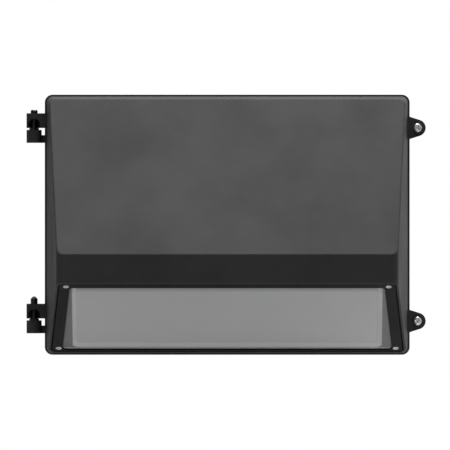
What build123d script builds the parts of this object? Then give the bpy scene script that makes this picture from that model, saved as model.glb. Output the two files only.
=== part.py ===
from build123d import *

import os
from math import cos, hypot, pi, radians, sin, tan

# Wall pack light, in millimetres.
# X runs to the right as seen from the street, Y runs into the wall and Z runs up.
# The origin is the centre of the back box's rear face, the one that lies on the wall.

# --- Castings -------------------------------------------------------------------------------
width = 329.7               # both castings, where they meet
height = 235.0
corner_radius = 7.0
box_depth = 45.0
box_draft = 1.5             # degrees
box_wall = 5.0
box_floor = 3.5
door_step = 1.5             # ledge of the box's rim that shows all round the door
door_depth = 155.0
door_wall = 3.2
side_draft = 3.75           # degrees
top_draft = 4.0
bottom_draft = 0.5
top_depth = 40.0            # how far the top runs out before the front starts to slope
nose_top = -26.5            # height of the nose band's upper edge
nose_bottom = -52.5         # height of the nose band's lower edge
heel_depth = 28.0           # how far the underside runs out before the lens face starts
nose_radius = 6.0
face_edge_radius = 1.6
lens_edge_radius = 0.5

# --- Rim seal -------------------------------------------------------------------------------
seal_inset = 2.1
seal_width = 1.8
seal_depth = 1.8

# --- Lens stack, measured from the lens face inwards ----------------------------------------
rim_lip = 1.8               # wall of the casting beside the lens frame
bezel_gap = 1.2
bezel_recess = 0.5          # below the lip
bezel_thickness = 1.6
bezel_side_bar = 9.6
bezel_top_bar = 8.2
bezel_bottom_bar = 2.1
bezel_edge_radius = 0.4
bezel_upper_corner = 3.0
bezel_lower_corner = 4.5    # keeps the pocket inside the casting's rounded corner
opening_corner = 4.2
lens_thickness = 2.5
lens_overlap = 3.5
lens_end_gap = 0.4          # from the lens frame's outer edge to the lens, at both ends
dish_side_margin = 1.5      # from the frame's narrowest opening to the dish
dish_hidden = 1.5           # dish edge under the frame's top bar
dish_end_margin = 2.2       # from the frame's bottom bar to the dish
dish_corner = 5.0
dish_depth = 3.5
dish_bevel = 4.6
dish_skin = 0.3             # how far the dish's back stands outside its front edge
dish_gap = 0.7
lens_seal_thickness = 1.5
seat_thickness = 3.0
bezel_screw_radius = 1.5
bezel_screw_head_radius = 2.75
bezel_screw_head_depth = 1.3
bezel_screw_recess = 1.0
bezel_screw_length = 12.0
bezel_boss_radius = 3.0
bezel_boss_depth = 6.0      # boss behind the lens seat
boss_gap = 0.4
screw_play = 0.2
bezel_screw_side = 6.0      # from the frame's slanted edges
bezel_screw_end = 5.5       # from the frame's upper and lower edges

# --- Light engine, parallel to the lens face -------------------------------------------------
spreader_margin = 4.0       # plate beyond its screws
spreader_height = 90.0
spreader_thickness = 3.0
spreader_corner = 5.0
spreader_level = 37.0       # from the lens face to the spreader's front
standoff_gap = 2.2          # between the standoffs and the dish's opening
standoff_rise = 34.0        # along the lens face, from its middle
standoff_radius = 3.8
spreader_screw_radius = 1.9
board_width = 204.0
board_height = 52.0
board_thickness = 1.6
chip_size = 5.0
chip_height = 1.2
chip_columns = 9
chip_rows = 3
chip_side = 26.0            # from the board's ends to the first column
chip_edge = 11.0            # from the board's long edges to the first row
board_screw_inset = 6.0     # from the board's edges
reflector_mouth_inset = 0.8 # inside the dish's edge
reflector_back_margin = 9.0 # round the board
reflector_sheet = 0.8
reflector_corner = 4.0
reflector_flange_corner = 6.0
reflector_flange = 10.0
rivet_inset = 3.8           # from the flange's edge
reflector_gap = 0.3
rivet_radius = 1.6
rivet_head_radius = 2.6
rivet_head_height = 1.0
small_screw_radius = 1.5
small_screw_head_radius = 2.8
small_screw_head_height = 1.8
small_screw_length = 8.0
board_screw_length = 4.0

# --- Screw heads, as shares of the head's height or radius ---------------------------------------
head_rounding = 0.45
recess_length = 1.1
recess_width = 0.24
recess_depth = 0.6

# --- Hinges ----------------------------------------------------------------------------------
hinge_offset = 9.65         # hinge axis outside the casting's side
knuckle_radius = 6.85
knuckle_edge_radius = 2.3
pin_radius = 3.15
pin_clearance = 0.06
pin_press_gap = 0.02
upper_pin_chamfer = 0.8
lower_pin_chamfer = 2.2
washer_radius = 4.4
washer_play = 0.1
door_knuckle_height = 13.3
barrel_height = 11.7
barrel_gap = 1.7            # between a barrel and the knuckle above it
upper_knuckle_drop = 30.1   # knuckle's underside below the casting's top
lower_knuckle_rise = 32.8   # knuckle's underside above the casting's bottom
upper_pin_tip = 3.1         # pin above its knuckle
lower_pin_tip = 6.6
core_width = 10.4
core_height = 8.2
core_corner = 4.4
core_back = 3.4             # wall left behind the cored-out knuckle
arm_height = 7.0

# --- Ears and captive door screws -------------------------------------------------------------
ear_offset = 6.95           # screw axis outside the casting's side
upper_ear_drop = 30.0
lower_ear_rise = 30.5
ear_radius = 7.5
ear_root = 20.2
door_ear_thickness = 8.0
box_ear_thickness = 14.0
screw_radius = 2.4
screw_clearance = 0.3
thread_clearance = 0.1
screw_head_radius = 4.0
screw_head_height = 2.6
screw_tip_depth = 12.0      # screw end below the joint face
ring_groove_depth = 0.4
ring_play = 0.05
ring_thickness = 1.0
ring_radius = 4.1
ring_depth = 4.8            # front of the ring below the joint face
ring_pocket_clearance = 0.4
door_ring_pocket = 3.0
box_ring_pocket = 6.5

# --- Wall fixing and wire entries --------------------------------------------------------------
wall_hole_side = 34.85      # from the casting's sides
wall_hole_end = 29.5        # from its top and bottom
wall_hole_radius = 3.5
wall_boss_radius = 8.0
wall_boss_height = 2.0
entry_z = 40.0
entry_radius = 10.45
entry_boss_radius = 15.0
entry_boss_height = 5.5
outlet_spacing = 88.9
outlet_slot_width = 4.8
outlet_slot_length = 14.0
hub_to_joint = 22.0
hub_boss = 6.0
hub_boss_radius = 14.0
plug_clearance = 0.05
plug_length = 9.0
plug_recess = 0.6
plug_socket = 9.5
plug_socket_depth = 5.0

# --- Driver and wiring --------------------------------------------------------------------------
driver_length = 130.0
driver_height = 48.0
driver_depth = 28.0
driver_x = 5.0
driver_rise = 35.5          # from the casting's bottom to the driver
driver_pad = 2.5
driver_pad_radius = 6.0
driver_tab = 12.0
driver_tab_width = 16.0
driver_screw_radius = 1.9
driver_screw_head_radius = 3.6
driver_screw_head_height = 2.2
driver_screw_length = 6.0
driver_tab_thickness = 1.5
driver_edge_radius = 3.0
ground_offset = 42.0        # from the driver's end
ground_rise = 46.0          # from the driver's middle
ground_boss_height = 5.0
ground_boss_radius = 6.0
terminal_radius = 4.6
terminal_thickness = 1.0
terminal_barrel_radius = 2.1
terminal_barrel_length = 7.0
lead_diameter = 2.4
bend_share = 0.45           # of the shorter run beside a bend that the bend takes up
ground_lead_drop = 8.0      # exit below the driver's middle
ground_lead_lift = 5.0      # exit in front of the terminal
ground_lead_out = 18.0      # straight run out of the driver
ground_lead_in = 22.0       # straight run into the terminal
supply_points = {           # from the driver's right-hand end, on the wall
    "black": [(22, -17, 10), (34, -18, 36), (26, -19, 62), (8, -20, 78)],
    "white": [(28, -26, 6), (44, -26, 32), (38, -26, 66), (20, -26, 86)],
}
connector_length = 24.0
connector_mouth_radius = 7.0
connector_tip_radius = 3.6
connector_edge_radius = 2.1
cable_diameter = 4.2
cable_out = 24.0            # straight run behind the board's connector
cable_turn = (-128, -98, 8) # between the connector and the clip
cable_in = 21.0             # straight run in front of the clip
cable_back = 14.0           # straight run into the box
cable_low = [(-149, -21, -30), (-96, -20, -58)]
socket_width = 12.0
socket_height = 9.0
socket_depth = 13.0
socket_inset = 12.0         # from the board's end
socket_gap = 0.5
clip_offset = 13.85         # from the casting's side
clip_to_joint = 21.0
clip_z = 25.0
clip_length = 8.0
clip_wall = 2.0
clip_play = 0.1             # round the cable
clip_tab = 16.0
clip_tab_thickness = 1.5
clip_screw_drop = 10.5
clip_screw_length = 6.0
clip_pad_margin = 1.5

# --- Worked out from the sizes above -------------------------------------------------------------
half_width = width / 2
half_height = height / 2
joint_y = -box_depth
nose_y = joint_y - door_depth
heel_y = joint_y - heel_depth
door_half_width = half_width - door_step
door_half_height = half_height - door_step
heel_z = -door_half_height + heel_depth * tan(radians(bottom_draft))
lens_run = heel_y - nose_y
lens_rise = nose_bottom - heel_z
lens_length = hypot(lens_run, lens_rise)
frame_edge = rim_lip + bezel_gap
screw_rise = lens_length / 2 - frame_edge - bezel_screw_end
lens_front = bezel_recess + bezel_thickness
hinge_x = -half_width - hinge_offset
ear_x = half_width + ear_offset
lens_seat_level = lens_front + lens_thickness + lens_seal_thickness
seat_back_level = lens_seat_level + seat_thickness


def face_half_width(rise):
    """Half the door's width where it meets the lens face, this far up from its middle."""
    depth = door_depth - (lens_length / 2 - rise) * lens_run / lens_length
    return door_half_width - depth * tan(radians(side_draft))


screw_places = [
    (side * (face_half_width(rise) - frame_edge - bezel_screw_side), rise)
    for side in (-1, 1)
    for rise in (-screw_rise, screw_rise)
]
dish_top = lens_length / 2 - frame_edge - bezel_top_bar + dish_hidden
dish_bottom = -lens_length / 2 + frame_edge + bezel_bottom_bar + dish_end_margin
dish_half_width = face_half_width(dish_top) - frame_edge - bezel_side_bar - dish_side_margin
standoff_x = dish_half_width + dish_gap + standoff_gap + standoff_radius
spreader_width = 2 * (standoff_x + spreader_margin)
reflector_back_width = board_width + 2 * reflector_back_margin
reflector_back_height = board_height + 2 * reflector_back_margin
socket_x = socket_inset - board_width / 2
chip_pitch_x = (board_width - 2 * chip_side) / (chip_columns - 1)
chip_pitch_rise = (board_height - 2 * chip_edge) / (chip_rows - 1)
board_screw_x = board_width / 2 - board_screw_inset
board_screw_rise = board_height / 2 - board_screw_inset
standoff_places = [(i * standoff_x, j * standoff_rise) for i in (-1, 1) for j in (-1, 1)]
board_screw_places = [(i * board_screw_x, j * board_screw_rise) for i in (-1, 1) for j in (-1, 1)]
rivet_x = reflector_back_width / 2 + reflector_flange - rivet_inset
rivet_places = [(i * rivet_x, j * board_screw_rise) for i in (-1, 1) for j in (-1, 1)]
knuckle_bottoms = {"upper": half_height - upper_knuckle_drop, "lower": lower_knuckle_rise - half_height}
pin_tips = {"upper": upper_pin_tip, "lower": lower_pin_tip}
pin_chamfers = {"upper": upper_pin_chamfer, "lower": lower_pin_chamfer}
ear_heights = {"upper": half_height - upper_ear_drop, "lower": lower_ear_rise - half_height}
wall_hole_x = half_width - wall_hole_side
wall_hole_z = half_height - wall_hole_end
wall_holes = [(i * wall_hole_x, j * wall_hole_z) for i in (-1, 1) for j in (-1, 1)]
driver_z = -half_height + driver_rise + driver_height / 2
ground_x = driver_x + driver_length / 2 + ground_offset
ground_z = driver_z + ground_rise
driver_tab_x = (driver_length + driver_tab) / 2
driver_screw_places = [(driver_x + i * driver_tab_x, driver_z) for i in (-1, 1)]
driver_base = box_floor + driver_pad
ground_level = box_floor + ground_boss_height
hub_y = joint_y + hub_to_joint
hub_face = half_width - hub_to_joint * tan(radians(box_draft))
hub_top = half_height - hub_to_joint * tan(radians(box_draft))
hubs = [((-hub_face, 0), (-1, 0)), ((hub_face, 0), (1, 0)), ((0, hub_top), (0, 1))]
clip_x = clip_offset - half_width
clip_y = joint_y - clip_to_joint
clip_seat_x = clip_x - cable_diameter / 2 - clip_wall

wall_plane = Plane.XZ       # faces the street, with X right and Z up
lens_plane = Plane(
    origin=(0, (nose_y + heel_y) / 2, (nose_bottom + heel_z) / 2),
    x_dir=(1, 0, 0),
    z_dir=(0, -lens_rise / lens_length, -lens_run / lens_length),
)


# --- Helpers --------------------------------------------------------------------------------------
def from_wall(outline, start, end, taper=0.0):
    """Extrudes an outline drawn as seen from the street between two distances from the wall."""
    return extrude(wall_plane.offset(start) * outline, amount=end - start, taper=taper)


def from_lens(outline, start, end):
    """Extrudes an outline drawn on the lens face between two depths behind that face."""
    return extrude(lens_plane.offset(-end) * outline, amount=end - start)


def lens_point(x, rise, depth):
    """A point given on the lens face, in the light's own frame."""
    return lens_plane.from_local_coords(Vector(x, rise, -depth))


def discs(places, radius):
    """One sketch of equal discs."""
    return Sketch() + [Pos(x, y) * Circle(radius) for x, y in places]


def lens_outline(side_inset, top_inset, bottom_inset, upper_corner, lower_corner):
    """Outline that follows the slanted edges of the lens face, set in from them."""
    high = lens_length / 2 - top_inset
    low = -lens_length / 2 + bottom_inset
    wide = face_half_width(low) - side_inset
    narrow = face_half_width(high) - side_inset
    corners = [(-wide, low), (wide, low), (narrow, high), (-narrow, high)]
    outline = Polygon(*corners, align=None)
    outline = fillet(outline.vertices().group_by(Axis.Y)[0], lower_corner)
    return fillet(outline.vertices().group_by(Axis.Y)[-1], upper_corner)


def face_towards(shape, direction):
    """The flat face that looks most nearly along a direction."""
    flats = shape.faces().filter_by(GeomType.PLANE)
    return flats.sort_by(lambda face: face.normal_at().dot(direction))[-1]


def inset_polygon(points, walls):
    """Moves each side of a clockwise or counter-clockwise polygon in by its own wall."""
    area = sum(a[0] * b[1] - b[0] * a[1] for a, b in zip(points, points[1:] + points[:1]))
    turn = 1 if area > 0 else -1
    lines = []
    for (ax, ay), (bx, by), wall in zip(points, points[1:] + points[:1], walls):
        length = hypot(bx - ax, by - ay)
        nx, ny = -turn * (by - ay) / length, turn * (bx - ax) / length
        lines.append((nx, ny, nx * ax + ny * ay + wall))
    corners = []
    for (a, b, c), (d, e, f) in zip(lines[-1:] + lines[:-1], lines):
        det = a * e - b * d
        corners.append(((c * e - b * f) / det, (a * f - c * d) / det))
    return corners


def route(points):
    """A lead's centre line: straight runs joined by arcs as large as the runs allow."""
    corners = [Vector(*p) for p in points]
    radii = []
    for before, corner, after in zip(corners, corners[1:], corners[2:]):
        turn = radians((corner - before).get_angle(after - corner))
        run = min((corner - before).length, (after - corner).length)
        radii.append(bend_share * run / tan(turn / 2))
    return FilletPolyline(*points, radius=radii), radii


def lead(name, points, diameter):
    """A round lead, with its length, least bend radius and volume error printed."""
    path, radii = route(points)
    section = Plane(origin=path @ 0, z_dir=path % 0) * Circle(diameter / 2)
    tube = sweep(section, path=path)
    expected = pi * diameter ** 2 / 4 * path.length
    error = tube.volume / expected - 1
    print(f"{name}: {path.length:.1f} mm long, least radius {min(radii):.1f}, volume {error:+.1%}")
    return tube


def cross(head_radius):
    """The cross recess of a screw's head."""
    arm = head_radius * recess_length
    across = head_radius * recess_width
    return Rectangle(arm, across) + Rectangle(across, arm)


def pan_screw(plane, shank_radius, length, head_radius, head_height):
    """A cross-slotted pan head screw whose head stands on the plane and whose shank goes below."""
    shank = extrude(plane * Circle(shank_radius), amount=-length)
    head = extrude(plane * Circle(head_radius), amount=head_height)
    rim = head.edges().sort_by(Axis(plane.origin, plane.z_dir))[-1]
    head = fillet(rim, head_height * head_rounding)
    recess = extrude(plane.offset(head_height) * cross(head_radius), amount=-head_height * recess_depth)
    return head + shank - recess


# --- Outlines and tools shared by pieces that fit each other -----------------------------------------
def door_form(wall, lens_wall, joint_wall):
    """The door's side profile crossed with its plan, set in by the given walls."""
    top_z = door_half_height - top_depth * tan(radians(top_draft))
    side = [
        (joint_y, door_half_height),
        (joint_y - top_depth, top_z),
        (nose_y, nose_top),
        (nose_y, nose_bottom),
        (heel_y, heel_z),
        (joint_y, -door_half_height),
    ]
    side = inset_polygon(side, [wall, wall, wall, lens_wall, wall, joint_wall])
    nose_half = door_half_width - door_depth * tan(radians(side_draft))
    rim_half = door_half_width
    plan = [(-rim_half, joint_y), (-nose_half, nose_y), (nose_half, nose_y), (rim_half, joint_y)]
    plan = inset_polygon(plan, [wall, wall, wall, joint_wall])
    plan_face = Polygon(*plan, align=None)
    plan_face = fillet(plan_face.vertices().group_by(Axis.Y)[0], max(nose_radius - wall, 1.0))
    across = extrude(Plane.YZ * Polygon(*side, align=None), amount=half_width, both=True)
    upright = extrude(plan_face, amount=half_height, both=True)
    return across & upright


def ear_outline(z, root_width):
    """A teardrop ear: a round end drawn in to its root in the casting's wall."""
    end = Pos(ear_x, z) * Circle(ear_radius)
    root = Pos(half_width - root_width / 2, z) * Rectangle(root_width, ear_root)
    return make_hull([*end.edges(), *root.edges()])


def frame_outline(gap):
    """The lens frame's outer outline, grown by a gap on every side."""
    inset = frame_edge - gap
    return lens_outline(inset, inset, inset, bezel_upper_corner + gap, bezel_lower_corner + gap)


def lens_area(corner):
    """The lens's outline, notched round the lens frame's screw bosses."""
    side = frame_edge + bezel_side_bar - lens_overlap
    end = frame_edge + lens_end_gap
    outline = lens_outline(side, end, end, corner, corner)
    return outline - discs(screw_places, bezel_boss_radius + boss_gap)


def dish_area(inset):
    """The lens dish's outline at its front edge, set in or out."""
    length = dish_top - dish_bottom - 2 * inset
    outline = RectangleRounded(2 * (dish_half_width - inset), length, dish_corner - inset / 2)
    return Pos(0, (dish_top + dish_bottom) / 2) * outline


def dish(front_inset, front, back_inset, back):
    """A tapering dish between two depths behind the lens face."""
    faces = [
        lens_plane.offset(-front) * dish_area(front_inset),
        lens_plane.offset(-back) * dish_area(back_inset),
    ]
    return loft(faces)


def hub_plane(place, direction):
    """A plane on a hub's outer face, looking out of the box."""
    return Plane(origin=(place[0], hub_y, place[1]), z_dir=(direction[0], 0, direction[1]))


def clip_screw_plane(x):
    """A plane across the cable clip's screw, looking into the door."""
    return Plane(origin=(x, clip_y, clip_z - clip_screw_drop), z_dir=(1, 0, 0))


# --- Door ----------------------------------------------------------------------------------------------
def door_knuckle(bottom):
    """A door hinge knuckle, cored out from the front so that its pin shows."""
    reach = door_wall - half_width - hinge_x
    plane = Plane.XY.offset(bottom)
    round_back = Pos(hinge_x, joint_y) * Circle(knuckle_radius)
    front_y = joint_y - knuckle_radius / 2
    arm = Pos(hinge_x + reach / 2, front_y) * Rectangle(reach, knuckle_radius)
    front = Pos(hinge_x, front_y) * Rectangle(2 * knuckle_radius, knuckle_radius)
    block = extrude(plane * (round_back + arm + front), amount=door_knuckle_height)
    outer_edge = block.edges().filter_by(Axis.Z).sort_by(lambda e: (e @ 0.5).X + (e @ 0.5).Y)[0]
    block = fillet(outer_edge, knuckle_edge_radius)
    arch = Pos(0, core_height / 2) * Rectangle(core_width, core_height)
    arch = fillet(arch.vertices().group_by(Axis.Y)[-1], core_corner)
    core_start = box_depth - knuckle_radius + core_back
    core = from_wall(Pos(hinge_x, bottom) * arch, core_start, box_depth + 2 * knuckle_radius)
    return block - core


def make_door_housing():
    """Hollow wedge-shaped door casting."""
    form = door_form(0, 0, 0)
    long_corners = [edge for edge in form.edges() if abs((edge % 0.5).Y) > 0.95]
    form = fillet(long_corners, corner_radius - door_step)
    form = fillet(face_towards(form, Vector(0, -1, 1)).edges(), face_edge_radius)
    form = fillet(face_towards(form, lens_plane.z_dir).edges(), lens_edge_radius)
    for bottom in knuckle_bottoms.values():
        form += door_knuckle(bottom)
    for z in ear_heights.values():
        form += from_wall(ear_outline(z, door_step + door_wall), box_depth, box_depth + door_ear_thickness)
    cavity = door_form(door_wall, seat_back_level, -1)
    shell = form - cavity
    shell -= from_lens(frame_outline(bezel_gap), -1, lens_seat_level)
    shell += from_lens(discs(screw_places, bezel_boss_radius), lens_front, lens_seat_level)
    boss_end = seat_back_level + bezel_boss_depth
    inner = from_lens(discs(screw_places, bezel_boss_radius), seat_back_level - 1, boss_end)
    inner += from_lens(discs(standoff_places, standoff_radius), seat_back_level - 1, spreader_level)
    shell += inner + clip_pad()
    shell -= from_lens(dish_area(-dish_gap), lens_front, seat_back_level + 1)
    return shell - door_holes()


def clip_pad():
    """Pad on the door's side wall for the cable clip."""
    top = clip_z + cable_diameter / 2 + clip_wall + clip_pad_margin
    bottom = clip_z - clip_tab - clip_pad_margin
    outside = -door_half_width + (joint_y - clip_y) * tan(radians(side_draft)) + door_wall / 2
    pad = Box(
        clip_seat_x - outside,
        clip_length + 2 * clip_pad_margin,
        top - bottom,
        align=(Align.MIN, Align.CENTER, Align.MIN),
    )
    return Pos(outside, clip_y, bottom) * pad


def door_holes():
    """Every round hole in the door casting."""
    holes = []
    for bottom in knuckle_bottoms.values():
        bore = Plane.XY.offset(bottom - 1) * Pos(hinge_x, joint_y) * Circle(pin_radius + pin_clearance)
        holes.append(extrude(bore, amount=door_knuckle_height + 2))
    for z in ear_heights.values():
        place = Pos(ear_x, z)
        clear = place * Circle(screw_radius + screw_clearance)
        pocket = place * Circle(ring_radius + ring_pocket_clearance)
        holes.append(from_wall(clear, box_depth - 1, box_depth + door_ear_thickness + 1))
        holes.append(from_wall(pocket, box_depth - 1, box_depth + door_ring_pocket))
    pilots = discs(screw_places, bezel_screw_radius + thread_clearance)
    holes.append(from_lens(pilots, 0, bezel_screw_length + 1))
    deep = discs(standoff_places, small_screw_radius + thread_clearance)
    holes.append(from_lens(deep, spreader_level - small_screw_length, spreader_level + 1))
    hole = clip_screw_plane(clip_seat_x) * Circle(small_screw_radius + thread_clearance)
    holes.append(extrude(hole, amount=-clip_screw_length))
    return holes


def make_lens_bezel():
    """Frame that holds the lens, just inside the casting's lip."""
    frame = from_lens(frame_outline(0), bezel_recess, lens_front)
    opening = lens_outline(
        frame_edge + bezel_side_bar,
        frame_edge + bezel_top_bar,
        frame_edge + bezel_bottom_bar,
        opening_corner,
        opening_corner,
    )
    frame -= from_lens(opening, 0, lens_front + 1)
    face = frame.faces().sort_by(Axis(lens_plane.origin, lens_plane.z_dir))[-1]
    frame = fillet(face.edges(), bezel_edge_radius)
    frame -= from_lens(discs(screw_places, bezel_screw_radius + screw_play), 0, lens_front + 1)
    return frame - [bezel_screw_head(place, screw_play / 2) for place in screw_places]


def bezel_screw_head(place, play):
    """The conical head of a lens frame screw, flush with the frame, with some play round it."""
    rim = Pos(*place) * Circle(bezel_screw_head_radius + play)
    neck = Pos(*place) * Circle(bezel_screw_radius + play)
    planes = [lens_plane.offset(-bezel_recess), lens_plane.offset(-bezel_recess - bezel_screw_head_depth)]
    return loft([planes[0] * rim, planes[1] * neck])


def make_bezel_screws():
    """The lens frame's flat-headed screws."""
    screws = []
    for place in screw_places:
        shank = from_lens(discs([place], bezel_screw_radius), bezel_recess, bezel_screw_length)
        recess = Pos(*place) * cross(bezel_screw_head_radius)
        depth = bezel_recess + bezel_screw_recess
        screws.append(bezel_screw_head(place, 0) + shank - from_lens(recess, 0, depth))
    return screws


def make_lens():
    """Moulded lens: a flange under the frame and a shallow dish through the seat."""
    back = lens_front + lens_thickness
    flange = from_lens(lens_area(opening_corner), lens_front, back)
    body = flange + dish(-dish_skin, back, dish_bevel - 3 * dish_skin, back + dish_depth)
    return body - dish(0, lens_front, dish_bevel, lens_front + dish_depth)


def make_lens_gasket():
    """Flat seal between the lens flange and its seat."""
    ring = lens_area(opening_corner) - dish_area(-dish_gap)
    return from_lens(ring, lens_front + lens_thickness, lens_seat_level)


def make_heat_spreader():
    """Flat plate that carries the board and the reflector."""
    back = spreader_level + spreader_thickness
    outline = RectangleRounded(spreader_width, spreader_height, spreader_corner)
    plate = from_lens(outline, spreader_level, back)
    holes = discs(standoff_places, small_screw_radius + screw_play)
    holes += discs(board_screw_places, small_screw_radius + thread_clearance)
    holes += discs(rivet_places, rivet_radius + thread_clearance)
    gap = 2 * socket_gap
    holes += Pos(socket_x, 0) * Rectangle(socket_width + gap, socket_height + gap)
    return plate - from_lens(holes, spreader_level - 1, back + 1)


def make_spreader_screws():
    """Screws from the plate's back into the casting's standoffs."""
    back = spreader_level + spreader_thickness
    return [
        pan_screw(
            Plane(lens_point(x, rise, back), x_dir=(1, 0, 0), z_dir=-lens_plane.z_dir),
            small_screw_radius,
            small_screw_length,
            small_screw_head_radius,
            small_screw_head_height,
        )
        for x, rise in standoff_places
    ]


def make_led_board():
    """Metal-core circuit board."""
    board = Rectangle(board_width, board_height) - discs(board_screw_places, small_screw_radius + screw_play)
    return from_lens(board, spreader_level - board_thickness, spreader_level)


def make_led_chips():
    """Light-emitting packages in rows and columns."""
    grid = GridLocations(chip_pitch_x, chip_pitch_rise, chip_columns, chip_rows)
    front = spreader_level - board_thickness
    return [from_lens(place * Rectangle(chip_size, chip_size), front - chip_height, front) for place in grid]


def make_led_board_screws():
    """Screws that hold the board to the plate."""
    front = spreader_level - board_thickness
    return [
        pan_screw(
            Plane(lens_point(x, rise, front), x_dir=(1, 0, 0), z_dir=lens_plane.z_dir),
            small_screw_radius,
            board_screw_length,
            small_screw_head_radius,
            small_screw_head_height,
        )
        for x, rise in board_screw_places
    ]


def make_reflector():
    """Sheet-metal tray that flares from the board to the lens."""
    front = seat_back_level + reflector_gap
    back = spreader_level
    mouth_width = 2 * (dish_half_width - reflector_mouth_inset)
    mouth_height = dish_top - dish_bottom - 2 * reflector_mouth_inset
    middle = Pos(0, (dish_top + dish_bottom) / 2)
    skins = []
    for grow in (2 * reflector_sheet, 0):
        mouth = middle * RectangleRounded(mouth_width + grow, mouth_height + grow, reflector_corner)
        end = Rectangle(reflector_back_width + grow, reflector_back_height + grow)
        end = fillet(end.vertices(), reflector_corner)
        faces = [lens_plane.offset(-front) * mouth, lens_plane.offset(-back) * end]
        skins.append(loft(faces))
    grow = 2 * reflector_flange
    flange = Rectangle(reflector_back_width + grow, reflector_back_height + grow)
    flange = fillet(flange.vertices(), reflector_flange_corner)
    tray = skins[0] + from_lens(flange, back - reflector_sheet, back) - skins[1]
    return tray - from_lens(discs(rivet_places, rivet_radius + thread_clearance), back - 2, back + 1)


def make_reflector_rivets():
    """Blind rivets through the tray's flange and the plate."""
    front = spreader_level - reflector_sheet
    back = spreader_level + spreader_thickness
    rivets = []
    for place in rivet_places:
        rivet = from_lens(discs([place], rivet_head_radius), front - rivet_head_height, front)
        rivet += from_lens(discs([place], rivet_radius), front, back)
        rivet += from_lens(discs([place], rivet_head_radius), back, back + rivet_head_height)
        rivets.append(rivet)
    return rivets


def make_led_connector():
    """Connector on the board's back, through the plate."""
    outline = Pos(socket_x, 0) * Rectangle(socket_width, socket_height)
    return from_lens(outline, spreader_level, spreader_level + socket_depth)


def make_cable_clip():
    """Loop clip that holds the cable to the door's side wall."""
    loop_radius = cable_diameter / 2 + clip_wall
    plane = Plane(origin=(clip_x, clip_y + clip_length / 2, clip_z), x_dir=(1, 0, 0), z_dir=(0, -1, 0))
    tab = Pos(-loop_radius, 0) * Rectangle(clip_tab_thickness, clip_tab, align=(Align.MIN, Align.MAX))
    outline = Circle(loop_radius) + tab - Circle(cable_diameter / 2 + clip_play)
    clip = extrude(plane * outline, amount=clip_length)
    hole = clip_screw_plane(clip_seat_x - 1) * Circle(small_screw_radius + screw_play)
    return clip - extrude(hole, amount=clip_tab_thickness + 2)


def make_cable_clip_screw():
    """Screw of the cable clip."""
    return pan_screw(
        clip_screw_plane(clip_seat_x + clip_tab_thickness),
        small_screw_radius,
        clip_screw_length,
        small_screw_head_radius,
        small_screw_head_height,
    )


def make_led_cable():
    """Two-core cable from the driver, past the hinge side and the clip, to the board."""
    start = lens_point(socket_x, 0, spreader_level + socket_depth)
    lift = lens_point(socket_x, 0, spreader_level + socket_depth + cable_out)
    points = [
        tuple(start),
        tuple(lift),
        cable_turn,
        (clip_x, clip_y - cable_in, clip_z),
        (clip_x, joint_y + cable_back, clip_z),
        *cable_low,
        (driver_x - driver_length / 2, *cable_low[-1][1:]),
    ]
    return lead("led_cable", points, cable_diameter)


# --- Back box --------------------------------------------------------------------------------------------
def make_back_box():
    """Open box casting that is screwed to the wall."""
    draft = tan(radians(box_draft))
    rear_shrink = 2 * box_depth * draft
    rear = RectangleRounded(width - rear_shrink, height - rear_shrink, corner_radius - rear_shrink / 2)
    box = from_wall(rear, 0, box_depth, -box_draft)
    for bottom in knuckle_bottoms.values():
        box += hinge_barrel(bottom)
    for z in ear_heights.values():
        box += from_wall(ear_outline(z, box_wall), box_depth - box_ear_thickness, box_depth)
    inset = 2 * box_wall + 2 * (box_depth - box_floor) * draft
    inner = RectangleRounded(width - inset, height - inset, max(corner_radius - box_wall, 1.0))
    box -= from_wall(inner, box_floor, box_depth + 1, -box_draft)
    for place, direction in hubs:
        boss = hub_plane(place, direction).offset(-1) * Circle(hub_boss_radius)
        box += extrude(boss, amount=1 - box_wall - hub_boss)
    box += from_wall(discs(wall_holes, wall_boss_radius), box_floor, box_floor + wall_boss_height)
    box += from_wall(discs([(0, entry_z)], entry_boss_radius), box_floor, box_floor + entry_boss_height)
    box += from_wall(discs(driver_screw_places, driver_pad_radius), box_floor, driver_base)
    box += from_wall(discs([(ground_x, ground_z)], ground_boss_radius), box_floor, ground_level)
    box -= seal_ring(0, box_depth - seal_depth, box_depth + 1)
    return box - box_holes()


def hinge_barrel(bottom):
    """A round hinge barrel below the door's knuckle, on an arm from the box's side."""
    top = bottom - barrel_gap
    base = Plane.XY.offset(top - barrel_height)
    barrel = extrude(base * Pos(hinge_x, joint_y) * Circle(knuckle_radius), amount=barrel_height)
    reach = box_wall - half_width - hinge_x
    shape = Pos(hinge_x + reach / 2, joint_y + knuckle_radius / 2) * Rectangle(reach, knuckle_radius)
    arm = extrude(base * shape, amount=arm_height)
    return barrel + arm


def seal_ring(play, start, end):
    """The rim seal's ring, drawn in by some play on both sides."""
    outer = 2 * (seal_inset + play)
    inner = 2 * (seal_inset + seal_width - play)
    ring = RectangleRounded(width - outer, height - outer, corner_radius - outer / 2)
    ring -= RectangleRounded(width - inner, height - inner, corner_radius - inner / 2)
    return from_wall(ring, start, end)


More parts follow.
